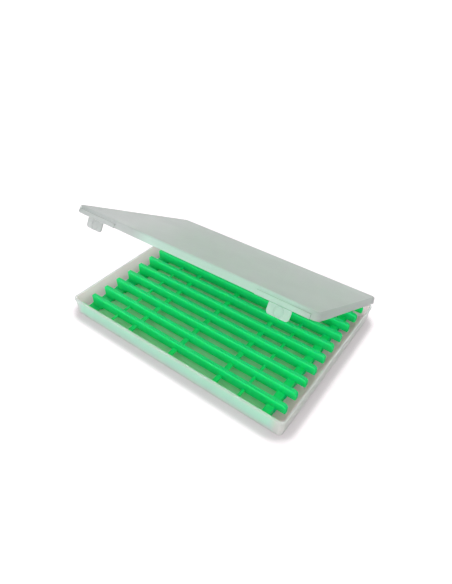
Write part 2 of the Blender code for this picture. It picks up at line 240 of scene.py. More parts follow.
class RigBoxWinders(bpy.types.PropertyGroup):
    """The ladder winders."""

    count: IntProperty(name="Count", description="Number of winders", default=10)
    pitch: FloatProperty(
        name="Pitch", description="From one winder to the next",
        default=NEXT_WINDER_LOW.y - WINDER_LOW.y, unit="LENGTH")
    length: FloatProperty(
        name="Length", description="Length over the fins and feet",
        default=WINDER_HIGH.x - WINDER_LOW.x, unit="LENGTH")
    height: FloatProperty(
        name="Height", description="Height of a winder",
        default=WINDER_HIGH.z - WINDER_LOW.z, unit="LENGTH")
    width: FloatProperty(
        name="Width", description="Width of a winder", default=WINDER_HIGH.y - WINDER_LOW.y, unit="LENGTH")
    bottom: FloatProperty(
        name="Bottom", description="Height of the winders' undersides", default=WINDER_LOW.z, unit="LENGTH")
    shift: FloatProperty(
        name="Shift", description="How far the winders lie to one end",
        default=(WINDER_LOW.x + WINDER_HIGH.x) / 2, unit="LENGTH")
    rail_thickness: FloatProperty(
        name="Rail thickness", description="Thickness of a rail", default=2.35 * MM, unit="LENGTH")
    rail_height: FloatProperty(
        name="Rail height", description="Height of a rail", default=12.3 * MM, unit="LENGTH")
    rail_rounding: FloatProperty(
        name="Rail rounding", description="Rounding towards the channel", default=0.8 * MM, unit="LENGTH")
    outer_rounding: FloatProperty(
        name="Outer rounding", description="Rounding towards the next winder",
        default=0.3 * MM, unit="LENGTH")
    rung_thickness: FloatProperty(
        name="Rung thickness", description="Thickness of a rung", default=1.6 * MM, unit="LENGTH")
    rung_top_share: FloatProperty(
        name="Rung top", description="Height of the rungs' upper faces as a share of the winder's height",
        default=0.5, subtype="FACTOR")
    rung_rounding: FloatProperty(
        name="Rung rounding", description="Rounding of the rungs' edges", default=0.4 * MM, unit="LENGTH")
    wide_rung: FloatProperty(
        name="Wide rung", description="Width of the three middle rungs", default=5.6 * MM, unit="LENGTH")
    narrow_rung: FloatProperty(
        name="Narrow rung", description="Width of the two outer rungs", default=3.2 * MM, unit="LENGTH")
    inner_rung: FloatProperty(
        name="Inner rung", description="Place of the inner rungs as a share of half the length",
        default=0.44,
        subtype="FACTOR")
    outer_rung: FloatProperty(
        name="Outer rung", description="Place of the outer rungs as a share of half the length",
        default=0.655,
        subtype="FACTOR")
    block_width: FloatProperty(
        name="Block width", description="Width of the end block", default=9 * MM, unit="LENGTH")
    block_setback: FloatProperty(
        name="Block setback", description="From the fins' tips to the end block",
        default=10.5 * MM, unit="LENGTH")
    block_hollow: FloatProperty(
        name="Block hollow", description="Depth of the line's hollow in the end block",
        default=0.6 * MM, unit="LENGTH")
    fin_height: FloatProperty(
        name="Fin height", description="Height of a fin", default=10.3 * MM, unit="LENGTH")
    fin_nose_radius: FloatProperty(
        name="Fin nose radius", description="Radius of a fin's upper corner", default=4 * MM, unit="LENGTH")
    fin_corner_radius: FloatProperty(
        name="Fin corner radius", description="Radius of a fin's lower corner",
        default=1.2 * MM, unit="LENGTH")
    heel_length: FloatProperty(
        name="Heel length", description="Length of the full-height heel", default=17 * MM, unit="LENGTH")
    heel_setback: FloatProperty(
        name="Heel setback", description="From the foot's tip to the heel's edge",
        default=3.3 * MM, unit="LENGTH")
    heel_lean: FloatProperty(
        name="Heel lean", description="How far the heel's edge leans", default=0.7 * MM, unit="LENGTH")
    heel_nose_radius: FloatProperty(
        name="Heel nose radius", description="Radius of the heel's upper corner",
        default=1.5 * MM, unit="LENGTH")
    heel_floor: FloatProperty(
        name="Heel floor", description="Thickness of the plate between the heels",
        default=2 * MM, unit="LENGTH")
    foot_tip_radius: FloatProperty(
        name="Foot tip radius", description="Radius of a foot's tip", default=1.1 * MM, unit="LENGTH")
    foot_height: FloatProperty(
        name="Foot height", description="Height where a foot meets its heel",
        default=2.7 * MM, unit="LENGTH")
    fillet: FloatProperty(
        name="Fillet", description="Rounding between a block and its rail", default=1.4 * MM, unit="LENGTH")

    @property
    def rung_top(self):
        return self.height * self.rung_top_share

    @property
    def reach(self):
        """How far from the middle a rung or a block runs: well into the rails."""
        return self.width / 2 - self.rail_thickness / 3


class RigBoxPlastics(bpy.types.PropertyGroup):
    """Colours and clearness of the plastics."""

    tray_outside: FloatVectorProperty(
        name="Tray outside", description="Colour of the tray's outside", default=linear("#eef7f4"),
        subtype="COLOR")
    # Painted light: the winders' green, seen through the wall, is painted into the outside in a band beside
    # them
    tray_outside_painted_green: FloatVectorProperty(
        name="Green outside", description="Colour of the outside where the winders' green shines through",
        default=linear("#d0fff8"), subtype="COLOR")
    painted_band_middle: FloatProperty(
        name="Green band", description="Height of the middle of the green band round the tray",
        default=12 * MM, unit="LENGTH")
    painted_band_reach: FloatProperty(
        name="Green band reach", description="How far the band goes up and down from its middle",
        default=11 * MM, unit="LENGTH")
    tray_inside: FloatVectorProperty(
        name="Tray inside", description="Colour of the tray's inner walls", default=linear("#fbe2e6"),
        subtype="COLOR")
    # Painted light: the green that the winders cast onto the floor between them, painted into the floor's
    # colour
    floor_painted_green: FloatVectorProperty(
        name="Tray floor", description="Colour of the tray's floor under the winders",
        default=linear("#b2fec6"), subtype="COLOR")
    lid_top: FloatVectorProperty(
        name="Lid top", description="Colour of the lid's top", default=linear("#dce1df"), subtype="COLOR")
    lid_skirt: FloatVectorProperty(
        name="Lid skirt", description="Colour of the lid's skirt and tabs", default=linear("#c3c9c7"),
        subtype="COLOR")
    # Painted light: the winders' green bounce light, painted into the skirt's and tabs' colour over the
    # winders
    lid_skirt_painted_green: FloatVectorProperty(
        name="Green skirt", description="Colour of the skirt and tabs where the winders' green shines in",
        default=linear("#cde4db"), subtype="COLOR")
    painted_green_middle: FloatProperty(
        name="Green middle", description="Middle of the green part of the skirt",
        default=38 * MM, unit="LENGTH")
    painted_green_reach: FloatProperty(
        name="Green reach", description="How far the green goes from its middle",
        default=98 * MM, unit="LENGTH")
    winder: FloatVectorProperty(
        name="Winders", description="Colour of the winders' plastic",
        default=linear("#02e678"), subtype="COLOR")
    tray_clearness: FloatProperty(
        name="Tray clearness", description="Share of the light that passes a face of the tray",
        default=0.6, subtype="FACTOR")
    tray_haze: FloatProperty(
        name="Tray haze", description="Share of what lies behind that a face of the tray veils",
        default=0.72, subtype="FACTOR")
    floor_clearness: FloatProperty(
        name="Floor clearness", description="Share of the light that passes a face of the tray's floor",
        default=0.15, subtype="FACTOR")
    floor_haze: FloatProperty(
        name="Floor haze", description="Share of what lies below that a face of the tray's floor veils",
        default=0.85, subtype="FACTOR")
    skirt_clearness: FloatProperty(
        name="Skirt clearness", description="Share of the light that passes a face of the skirt or a tab",
        default=0.52, subtype="FACTOR")
    skirt_haze: FloatProperty(
        name="Skirt haze", description="Share of what lies behind that a face of the skirt or a tab veils",
        default=0.86, subtype="FACTOR")
    lid_clearness: FloatProperty(
        name="Lid clearness", description="Share of the light that passes a face of the lid's frosted top",
        default=0.6, subtype="FACTOR")
    lid_haze: FloatProperty(
        name="Lid haze", description="Share of what lies behind that a face of the frosted top veils",
        default=0.85, subtype="FACTOR")
    milkiness: FloatProperty(
        name="Milkiness", description="Roughness of the milky plastic", default=0.55, subtype="FACTOR")
    gloss: FloatProperty(
        name="Winder roughness", description="Roughness of the green plastic",
        default=0.55, subtype="FACTOR")


class RigBoxStage(bpy.types.PropertyGroup):
    """The white floor, the light and the camera."""

    floor: FloatVectorProperty(
        name="Floor", description="Colour of the floor", default=linear("#d3cdd0"), subtype="COLOR")
    floor_size: FloatProperty(
        name="Floor size", description="Width of the floor", default=14, unit="LENGTH")
    floor_glow: FloatProperty(
        name="Floor glow", description="What the camera sees added to the floor, so that it is white",
        default=0.44)
    # Width of the painted shadow, where the glow fades near the box
    shadow_width: FloatProperty(
        name="Shadow width", description="How far the floor's glow fades towards the box", default=16 * MM,
        unit="LENGTH")
    dome: FloatProperty(name="Dome", description="Strength of the light from all round", default=0.87)
    lamp_strength: FloatProperty(name="Lamp", description="Strength of the lamp in front", default=1.85)
    lamp_spread: FloatProperty(
        name="Lamp spread", description="How wide the lamp in front looks from the box",
        default=math.radians(60), subtype="ANGLE")
    lamp_from: FloatVectorProperty(
        name="Lamp from", description="Where the light of the lamp in front comes from",
        default=(0.25, -0.9, 0.38), subtype="DIRECTION")
    camera_place: FloatVectorProperty(
        name="Camera", description="Where the camera stands", default=(0.2258, -0.3233, 0.36),
        subtype="TRANSLATION")
    camera_turn: FloatVectorProperty(
        name="Camera turn", description="How the camera is turned", subtype="EULER",
        default=(math.radians(50.314), math.radians(-0.298), math.radians(37.566)))
    lens: FloatProperty(name="Lens", description="Focal length", default=27.9, unit="CAMERA")
    shift_x: FloatProperty(name="Shift X", description="Sideways shift of the view", default=0.0316)
    shift_y: FloatProperty(name="Shift Y", description="Upward shift of the view", default=0.0035)


def arc(centre, radius, start, end, steps):
    """Points on an arc from start to end in degrees."""
    points = []
    for step in range(steps + 1):
        angle = math.radians(start + (end - start) * step / steps)
        points.append((centre[0] + radius * math.cos(angle), centre[1] + radius * math.sin(angle)))
    return points


def smooth(mesh):
    mesh.shade_smooth()
    mesh.set_sharp_from_angle(angle=SMOOTH_ANGLE)
    return mesh


def finish_mesh(name, bm):
    """A smoothed mesh with its faces turned outwards."""
    bmesh.ops.recalc_face_normals(bm, faces=bm.faces)
    mesh = bpy.data.meshes.new(name)
    bm.to_mesh(mesh)
    bm.free()
    return smooth(mesh)


def loft(name, rings):
    """A closed solid through rings of equally many points, with the first and the last ring capped."""
    bm = bmesh.new()
    loops = [[bm.verts.new(point) for point in ring] for ring in rings]
    for lower, upper in zip(loops, loops[1:]):
        for i in range(len(lower)):
            j = (i + 1) % len(lower)
            bm.faces.new((lower[i], lower[j], upper[j], upper[i]))
    bm.faces.new(loops[0])
    bm.faces.new(loops[-1])
    return finish_mesh(name, bm)


def plan_ring(box, inset, z):
    """The box's rounded plan, drawn in by inset, at height z."""
    radius = box.corner_radius - inset
    across = box.length / 2 - box.corner_radius
    deep = box.depth / 2 - box.corner_radius
    ring = []
    for side, front, start in ((1, 1, 0), (-1, 1, 90), (-1, -1, 180), (1, -1, 270)):
        centre = (side * across, front * deep)
        for x, y in arc(centre, radius, start, start + 90, CORNER_STEPS):
            ring.append(Vector((x, y, z)))
    return ring


def along_x(name, outline, start, end):
    """A prism of a (y, z) outline from x = start to x = end."""
    return loft(name, [[Vector((x, y, z)) for y, z in outline] for x in (start, end)])


def along_y(name, outline, start, end):
    """A prism of an (x, z) outline from y = start to y = end."""
    return loft(name, [[Vector((x, y, z)) for x, z in outline] for y in (start, end)])


def along_z(name, outline, start, end):
    """A prism of an (x, y) outline from z = start to z = end."""
    return loft(name, [[Vector((x, y, z)) for x, y in outline] for z in (start, end)])


def rectangle(low, high):
    return [(low[0], low[1]), (high[0], low[1]), (high[0], high[1]), (low[0], high[1])]


def rounded_rectangle(low, high, radius):
    points = []
    centres = rectangle([side + radius for side in low], [side - radius for side in high])
    for centre, start in zip(centres, (180, 270, 0, 90)):
        points += arc(centre, radius, start, start + 90, EDGE_STEPS)
    return points


def circle(centre, radius):
    return arc(centre, radius, 0, 360, CIRCLE_STEPS)[:-1]


def torus(name, centre, radius, thickness):
    """A ring round the Y direction."""
    bm = bmesh.new()
    loops = []
    for step in range(RING_STEPS):
        angle = 2 * math.pi * step / RING_STEPS
        loop = []
        for out, y in arc((radius, 0), thickness / 2, 0, 360, RING_SECTION_STEPS)[:-1]:
            spot = Vector((out * math.cos(angle), y, out * math.sin(angle)))
            loop.append(bm.verts.new(centre + spot))
        loops.append(loop)
    for i, loop in enumerate(loops):
        following = loops[(i + 1) % RING_STEPS]
        for j in range(RING_SECTION_STEPS):
            k = (j + 1) % RING_SECTION_STEPS
            bm.faces.new((loop[j], loop[k], following[k], following[j]))
    return finish_mesh(name, bm)


def place(name, mesh, material=None, matrix=None):
    thing = bpy.data.objects.new(name, mesh)
    bpy.context.scene.collection.objects.link(thing)
    if matrix:
        thing.matrix_world = matrix
    if material:
        mesh.materials.clear()
        mesh.materials.append(material)
    return thing


def fused(name, body, added, removed=()):
    """One mesh of the body with the added meshes joined to it and the removed ones cut from it."""
    target = place(name, body)
    helpers = []
    for operation, meshes in (("UNION", added), ("DIFFERENCE", removed)):
        for mesh in meshes:
            helper = place(name + "_helper", mesh)
            modifier = target.modifiers.new(mesh.name, "BOOLEAN")
            modifier.operation = operation
            modifier.object = helper
            helpers.append(helper)
    bpy.context.view_layer.update()
    graph = bpy.context.evaluated_depsgraph_get()
    mesh = bpy.data.meshes.new_from_object(target.evaluated_get(graph))
    mesh.name = name
    for thing in (target, *helpers):
        bpy.data.objects.remove(thing)
    return smooth(mesh)


def stand_for(thing, body, node):
    """Makes the piece ride on a body and stand for its CAD node, which it hides."""
    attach(thing, body)
    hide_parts(node)


def hinge_axis(box, hinge):
    """The hinge's axis as (y, z)."""
    y = box.depth / 2 + hinge.barrel_radius + hinge.barrel_clear
    return (y, box.tray_height - hinge.drop)


def hinge_places(box, hinge):
    spacing = (box.length - 2 * hinge.inset) / (hinge.count - 1)
    first = -spacing * (hinge.count - 1) / 2
    return [first + spacing * i for i in range(hinge.count)]


def opened(box, hinge):
    """Where something that is drawn with the lid shut stands when the lid is half open."""
    y, z = hinge_axis(box, hinge)
    axis = Vector((0, y, z))
    turn = Matrix.Rotation(-hinge.open_angle, 4, "X")
    return Matrix.Translation(axis) @ turn @ Matrix.Translation(-axis)


def tray_shell(box):
    """The tray's wall, floor and rim bead as one shell, open at the top."""
    outer = box.bead_proud + box.tray_draft
    inner = outer + box.wall
    rim_inner = box.bead_proud + box.wall
    edge = box.edge_break
    under_bead = box.tray_height - box.bead_height
    under_rim = box.tray_height - edge
    profile = arc((outer + box.foot_radius, box.foot_radius), box.foot_radius, 270, 180, ROUND_STEPS)
    profile.append((box.bead_proud, under_bead))
    profile += arc((edge, under_bead + edge), edge, 270, 180, EDGE_STEPS)
    profile += arc((edge, under_rim), edge, 180, 90, EDGE_STEPS)
    profile += arc((rim_inner - edge, under_rim), edge, 90, 0, EDGE_STEPS)
    crease = (inner + box.crease_radius, box.floor + box.crease_radius)
    profile += arc(crease, box.crease_radius, 180, 270, ROUND_STEPS)
    return loft("tray_shell", [plan_ring(box, away, up) for away, up in profile])


def lug(box, hinge, x):
    """One ear of the hinge, rooted in the tray's back wall."""
    root_y = box.depth / 2 - box.bead_proud - box.wall / 2
    root_top = box.tray_height - box.edge_break - box.gap
    outline = [(root_y, root_top - hinge.lug_root_height), (root_y, root_top)]
    outline += arc(hinge_axis(box, hinge), hinge.barrel_radius + box.gap, *LUG_ARC, LUG_STEPS)
    start = x - hinge.lug_width / 2
    return along_x("lug", outline, start, start + hinge.lug_width)


def marks(box, z):
    """Thin round plugs in two rows of three, which cut the ejector marks around height z."""
    result = []
    low = z - box.mark_depth
    high = z + box.mark_depth
    along_share, across_share = MARK_SHARES
    for column in (-1, 0, 1):
        for row in (-1, 1):
            spot = (column * box.length * along_share, row * box.depth * across_share)
            result.append(along_z("mark", circle(spot, box.mark_radius), low, high))
    return result


def tray_mesh(box, hinge):
    lugs = []
    cuts = []
    y, z = hinge_axis(box, hinge)
    far = y + hinge.barrel_radius + 2 * box.gap
    for x in hinge_places(box, hinge):
        for side in (-1, 1):
            middle = x + side * (hinge.barrel_length / 2 + box.gap + hinge.lug_width / 2)
            lugs.append(lug(box, hinge, middle))
            low = middle - hinge.lug_width / 2 - box.gap
            high = middle + hinge.lug_width / 2 + box.gap
            cuts.append(along_x("bore", circle((y, z), hinge.pin_radius + box.gap), low, high))
            mouth = rectangle((y, z - hinge.snap_slot / 2), (far, z + hinge.snap_slot / 2))
            cuts.append(along_x("slot", mouth, low, high))
    return fused("tray_moulding", tray_shell(box), lugs, cuts + marks(box, 0))


def lid_shell(box):
    """The lid's top and skirt as one shell, open below, where it lies when the box is shut."""
    inner = box.wall + box.lid_draft
    ceiling = box.lid_top_z - box.lid_top
    edge = box.edge_break
    crease = (inner + box.crease_radius, ceiling - box.crease_radius)
    profile = arc(crease, box.crease_radius, 90, 180, ROUND_STEPS)
    profile += arc((box.wall - edge, box.lid_bottom + edge), edge, 0, -90, EDGE_STEPS)
    profile += arc((edge, box.lid_bottom + edge), edge, 270, 180, EDGE_STEPS)
    top_edge = (box.lid_draft + box.lid_edge_radius, box.lid_top_z - box.lid_edge_radius)
    profile += arc(top_edge, box.lid_edge_radius, 180, 90, LID_EDGE_STEPS)
    return loft("lid_shell", [plan_ring(box, away, up) for away, up in profile])


def lid_barrel(box, hinge, x):
    """A hinge barrel with its two stub pins and the arm that carries it on the lid's back skirt."""
    low = x - hinge.barrel_length / 2
    high = x + hinge.barrel_length / 2
    centre = hinge_axis(box, hinge)
    barrel = along_x("barrel", circle(centre, hinge.barrel_radius), low, high)
    reach = hinge.pin_length
    pins = along_x("pins", circle(centre, hinge.pin_radius), low - reach, high + reach)
    back = box.depth / 2
    top = box.lid_bottom + hinge.arm_lap
    arm_back = back + box.gap + hinge.arm_thickness
    rounding = 2 * box.gap
    round_top = arc((arm_back - rounding, top - rounding), rounding, 0, 90, EDGE_STEPS)
    arm_outline = [(back + box.gap, centre[1]), (arm_back, centre[1]), *round_top, (back + box.gap, top)]
    arm = along_x("arm", arm_outline, low, high)
    lap_low = (back - box.lid_draft - box.wall / 2, box.lid_bottom + box.gap)
    set_down = box.gap / 10
    lap_high = (back + box.gap + hinge.arm_thickness / 2, top - set_down)
    lap = along_x("lap", rectangle(lap_low, lap_high), low + box.gap, high - box.gap)
    return [arm, lap, barrel, pins]


def rounded_ends(start, end, edge):
    """The six places where a plate's two edges turn, each with how far its outline is drawn in there."""
    steps = ((0, edge), (edge * EDGE_SHARE, edge * EDGE_SHARE), (edge, 0))
    places = [(start + along, inset) for along, inset in steps]
    return places + [(end - along, inset) for along, inset in reversed(steps)]


def panel(box, latch, x):
    """The raised panel on the front skirt above a latch tab, with its edges rounded."""
    front = -box.depth / 2 - box.gap - latch.thickness
    back = -box.depth / 2 + box.lid_draft + box.wall / 2
    low = box.lid_bottom
    top = low + latch.panel_height
    edge = box.edge_break
    half = latch.panel_width / 2
    rings = []
    for along, inset in rounded_ends(x - half, x + half, edge):
        trim = inset / 2
        outline = [(back, low), (front + edge, low)]
        outline += arc((front + edge, low + edge), edge - trim, 270, 180, EDGE_STEPS)[1:]
        outline += arc((front + 2 * edge, top - 2 * edge), 2 * edge - trim, 180, 90, EDGE_STEPS)
        outline.append((back, top - trim))
        rings.append([Vector((along, y, z)) for y, z in outline])
    return loft("panel", rings)


def lid_mesh(box, hinge, latch):
    added = []
    for x in hinge_places(box, hinge):
        added += lid_barrel(box, hinge, x)
    for side in (-1, 1):
        added.append(panel(box, latch, side * (box.length / 2 - latch.inset)))
    return fused("lid_moulding", lid_shell(box), added, marks(box, box.lid_top_z - box.lid_top))


def latch_mesh(box, latch):
    """A tab with round lower corners, a thumb ring and a hook ridge behind it, about its own middle."""
    top = box.lid_bottom - box.gap
    half = latch.width / 2
    low = top - latch.drop
    corner = latch.corner
    back = -box.depth / 2 - box.gap
    front = back - latch.thickness
    outline = [(-half, top)]
    outline += arc((-half + corner, low + corner), corner, 180, 270, ROUND_STEPS)
    outline += arc((half - corner, low + corner), corner, 270, 360, ROUND_STEPS)
    outline += [(half, top)]
    rings = []
    for y, inset in rounded_ends(front, back, box.edge_break):
        rings.append([Vector((x, y, z)) for x, z in drawn_in(outline, -inset)])
    plate = loft("plate", rings)
    hook_top = box.tray_height - box.bead_height - box.gap
    hook_half = half - corner
    root = back - latch.thickness / 2
    tip = back + latch.hook_reach
    hook = [
        (root, hook_top - latch.hook_height),
        (back, hook_top - latch.hook_height),
        (tip, hook_top - latch.hook_height / 2),
        (tip, hook_top),
        (root, hook_top),
    ]
    middle = Vector((0, front, low + latch.drop / 2))
    ring = torus("ring", middle, latch.ring_radius, latch.ring_thickness)
    spot = circle((middle.x, middle.z), latch.recess_radius)
    recess = along_y("recess", spot, front - latch.recess_depth, front + latch.recess_depth)
    return fused("latch_moulding", plate, [along_x("hook", hook, -hook_half, hook_half), ring], [recess])


def fin_end(winder):
    """The right end of a side plate from the top down: a fin that juts out over the end block."""
    tip = winder.length / 2
    low = winder.height - winder.fin_height
    under = winder.height - winder.rail_height
    outer = tip - winder.block_setback
    inner = outer - winder.block_width
    round_nose = winder.fin_nose_radius
    corner = winder.fin_corner_radius
    fillet = winder.fillet
    points = arc((tip - round_nose, winder.height - round_nose), round_nose, 90, 0, NOSE_STEPS)
    points += arc((tip - corner, low + corner), corner, 0, -90, FOOT_STEPS)
    points += arc((outer + fillet, low - fillet), fillet, 90, 180, FILLET_STEPS)
    points += [(outer, 0), (inner, 0)]
    points += arc((inner - fillet, under - fillet), fillet, 0, 90, FILLET_STEPS)
    return points


def heel_end(winder):
    """The left end from the rail's underside up: a full plate with a low foot and a small nose."""
    tip = -winder.length / 2
    inner = tip + winder.heel_length
    edge = tip + winder.heel_setback
    foot = winder.foot_tip_radius
    nose = winder.heel_nose_radius
    fillet = winder.fillet
    under = winder.height - winder.rail_height
    points = arc((inner + fillet, under - fillet), fillet, 90, 180, FILLET_STEPS)
    points.append((inner, 0))
    points += arc((tip + foot, foot), foot, 270, 90, 2 * FOOT_STEPS)
    points.append((edge + winder.heel_lean, winder.foot_height))
    points += arc((edge + nose, winder.height - nose), nose, 180, 90, FOOT_STEPS)
    return points


def drawn_in(outline, inset):
    """The outline moved by about inset at every corner: inwards where it runs clockwise, else outwards."""
    points = [Vector(point) for point in outline]
    result = []
    for i, point in enumerate(points):
        before = (point - points[i - 1]).normalized()
        after = (points[(i + 1) % len(points)] - point).normalized()
        along = (before + after).normalized()
        result.append(point + inset * Vector((along.y, -along.x)))
    return result


def side_plate(winder, side):
    """One rail with its fin and heel, rounded more towards the channel than towards its neighbour."""
    outline = fin_end(winder) + heel_end(winder)
    outer = winder.outer_rounding
    inner = winder.rail_rounding
    sections = arc((outer, outer), outer, 180, 270, EDGE_STEPS)
    sections += arc((winder.rail_thickness - inner, inner), inner, 270, 360, ROUND_STEPS)
    rings = []
    for inwards, inset in sections:
        y = side * (winder.width / 2 - inwards)
        rings.append([Vector((x, y, z)) for x, z in drawn_in(outline, inset)])
    return loft("side_plate", rings)


def end_block(winder):
    """The block between the two fins, a little in from their faces and hollowed outside for the line."""
    outer = winder.length / 2 - winder.block_setback - winder.outer_rounding
    inner = outer - winder.block_width + 2 * winder.outer_rounding
    low = winder.outer_rounding
    top = winder.rung_top
    outline = [(inner, low)]
    for step in range(HOLLOW_STEPS + 1):
        share = step / HOLLOW_STEPS
        outline.append((outer - winder.block_hollow * math.sin(math.pi * share), low + (top - low) * share))
    outline.append((inner, top))
    return along_y("end_block", outline, -winder.reach, winder.reach)


def heel_floor(winder):
    """The low plate that joins the two side plates at the left end."""
    tip = -winder.length / 2
    low = (tip + winder.foot_tip_radius, winder.outer_rounding)
    high = (tip + winder.heel_length - winder.fillet, winder.heel_floor)
    return along_y("heel_floor", rectangle(low, high), -winder.reach, winder.reach)


def rung(winder, x, width):
    low = (x - width / 2, winder.rung_top - winder.rung_thickness)
    high = (x + width / 2, winder.rung_top)
    return along_y("rung", rounded_rectangle(low, high, winder.rung_rounding), -winder.reach, winder.reach)


def winder_mesh(winder):
    rungs = [rung(winder, 0, winder.wide_rung)]
    for half in (-winder.length / 2, winder.length / 2):
        rungs.append(rung(winder, half * winder.inner_rung, winder.wide_rung))
        rungs.append(rung(winder, half * winder.outer_rung, winder.narrow_rung))
    added = [side_plate(winder, -1), heel_floor(winder), end_block(winder), *rungs]
    return fused("winder_moulding", side_plate(winder, 1), added)


def add_node(tree, kind, settings=None, links=None):
    """Adds a node, sets its properties and inputs, and links its inputs to other nodes' outputs."""
    node = tree.nodes.new(kind)
    for key, value in (settings or {}).items():
        if isinstance(key, int) or key in node.inputs:
            node.inputs[key].default_value = value
        else:
            setattr(node, key, value)
    for key, output in (links or {}).items():
        tree.links.new(output, node.inputs[key])
    return node


def empty_material(name, shown):
    material = bpy.data.materials.new(name)
    material.use_nodes = True
    material.node_tree.nodes.clear()
    material.diffuse_color = (*shown, 1)
    return material


def moulded_skin(tree, colour, roughness, drift, shade, spread, relief, strength, depth):
    """Colour, roughness and normal of a moulded face.

    The drift pattern darkens the colour towards its shade and moves the roughness by the spread. The
    relief pattern is pressed in.
    """
    darker = tuple(channel * shade for channel in colour)
    tint = add_node(
        tree, "ShaderNodeMix", {"data_type": "RGBA", 6: (*colour, 1), 7: (*darker, 1)}, {0: drift})
    rough = add_node(
        tree, "ShaderNodeMapRange", {"To Min": roughness - spread, "To Max": roughness + spread},
        {"Value": drift})
    bump = add_node(tree, "ShaderNodeBump", {"Strength": strength, "Distance": depth}, {"Height": relief})
    return tint.outputs[2], rough.outputs["Result"], bump.outputs["Normal"]


def painted_green_within(tree, place_on_piece, tint, green, limits):
    """The tint, with painted green light inside all limits. Each limit is an axis, a middle, a reach and a
    fade.
    """
    plain = None
    for axis, middle, reach, fade in limits:
        along = add_node(tree, "ShaderNodeSeparateXYZ", links={"Vector": place_on_piece}).outputs[axis]
        aside = add_node(
            tree, "ShaderNodeMath", {"operation": "SUBTRACT", 1: middle}, {0: along}).outputs[0]
        away = add_node(tree, "ShaderNodeMath", {"operation": "ABSOLUTE"}, {0: aside}).outputs[0]
        beyond = add_node(
            tree, "ShaderNodeMapRange", {"From Min": reach - fade, "From Max": reach},
            {"Value": away}).outputs[0]
        if plain:
            beyond = add_node(
                tree, "ShaderNodeMath", {"operation": "MAXIMUM"}, {0: beyond, 1: plain}).outputs[0]
        plain = beyond
    return add_node(
        tree, "ShaderNodeMix", {"data_type": "RGBA", 6: (*green, 1)}, {0: plain, 7: tint}).outputs[2]


def natural_polypropylene(name, colour, clearness, haze, milkiness, green=None, limits=()):
    """Natural polypropylene, injection moulded: a milky wall that the winders' green shines through.

    The skin is satin. Faint clouds 45 mm wide show where the melt cooled unevenly, and the mould's
    spark-eroded grain, really 0.1 mm, is drawn 1.2 mm wide so that it shows in the render. Clearness is
    the share of the light that passes a face, and haze the share of what lies behind that it veils.
    Inside the limits painted light is mixed in: the green that the winders shine through and cast, painted
    into the colour.
    """
    cloud_width = 45 * MM
    grain_width = 1.2 * MM
    material = empty_material(name, colour)
    tree = material.node_tree
    place_on_piece = add_node(tree, "ShaderNodeTexCoord").outputs["Object"]
    clouds = add_node(
        tree, "ShaderNodeTexNoise",
        {"Scale": 1 / cloud_width, "Detail": 3, "Roughness": 0.5, "Distortion": 0.6},
        {"Vector": place_on_piece}).outputs["Fac"]
    grain = add_node(
        tree, "ShaderNodeTexNoise", {"Scale": 1 / grain_width, "Detail": 2, "Roughness": 0.6},
        {"Vector": place_on_piece}).outputs["Fac"]
    tint, satin, bump = moulded_skin(
        tree, colour, milkiness, drift=clouds, shade=0.93, spread=0.06,
        relief=grain, strength=0.12, depth=0.08 * MM)
    # Painted green light, mixed in inside the limits
    if limits:
        tint = painted_green_within(tree, place_on_piece, tint, green, limits)
    skin = add_node(
        tree, "ShaderNodeBsdfPrincipled", {"IOR": 1.49, "Transmission Weight": clearness, "Alpha": haze},
        {"Base Color": tint, "Roughness": satin, "Normal": bump})
    add_node(tree, "ShaderNodeOutputMaterial", links={"Surface": skin.outputs["BSDF"]})
    return material


def skirt_polypropylene(name, plastics):
    """The natural polypropylene of the lid's skirt and tabs, with painted green light of the winders over
    them.
    """
    finish = (plastics.skirt_clearness, plastics.skirt_haze, plastics.milkiness)
    # Where the painted green bounce light lies on the skirt and tabs
    painted_green_over_winders = ("X", plastics.painted_green_middle, plastics.painted_green_reach, SKIRT_FADE)
    green = plastics.lid_skirt_painted_green
    return natural_polypropylene(name, plastics.lid_skirt, *finish, green, [painted_green_over_winders])


def green_polystyrene(plastics):
    """High impact polystyrene, injection moulded in one bright green: even colour under a soft gloss.

    The colour drifts a little along the melt's flow in streaks 60 mm long and 4 mm wide, and the
    skin's orange peel, really 0.3 mm, is drawn 1 mm wide so that it shows.
    """
    streak_length = 60 * MM
    streak_width = 4 * MM
    peel_width = 1 * MM
    material = empty_material("green_polystyrene", plastics.winder)
    tree = material.node_tree
    place_on_piece = add_node(tree, "ShaderNodeTexCoord").outputs["Object"]
    stretched = add_node(
        tree, "ShaderNodeMapping", {"Scale": (1 / streak_length, 1 / streak_width, 1 / streak_width)},
        {"Vector": place_on_piece}).outputs["Vector"]
    streaks = add_node(
        tree, "ShaderNodeTexNoise", {"Scale": 1, "Detail": 3, "Distortion": 0.4},
        {"Vector": stretched}).outputs["Fac"]
    peel = add_node(
        tree, "ShaderNodeTexNoise", {"Scale": 1 / peel_width, "Detail": 2},
        {"Vector": place_on_piece}).outputs["Fac"]
    tint, gloss, bump = moulded_skin(
        tree, plastics.winder, plastics.gloss, drift=streaks, shade=0.88, spread=0.05,
        relief=peel, strength=0.1, depth=0.05 * MM)
    skin = add_node(
        tree, "ShaderNodeBsdfPrincipled",
        {"IOR": 1.55, "Specular IOR Level": 0.35, "Subsurface Weight": 1,
         "Subsurface Radius": (0.3, 1, 0.5), "Subsurface Scale": 8 * MM},
        {"Base Color": tint, "Roughness": gloss, "Normal": bump})
    add_node(tree, "ShaderNodeOutputMaterial", links={"Surface": skin.outputs["BSDF"]})
    return material


def seen_directly(tree):
    """1 for what the camera sees directly, in a reflection or through clear plastic, otherwise 0."""
    rays = add_node(tree, "ShaderNodeLightPath")
    mirrored = add_node(
        tree, "ShaderNodeMath", {"operation": "MAXIMUM"},
        {0: rays.outputs["Is Camera Ray"], 1: rays.outputs["Is Glossy Ray"]}).outputs[0]
    return add_node(
        tree, "ShaderNodeMath", {"operation": "MAXIMUM"},
        {0: mirrored, 1: rays.outputs["Is Transmission Ray"]}).outputs[0]


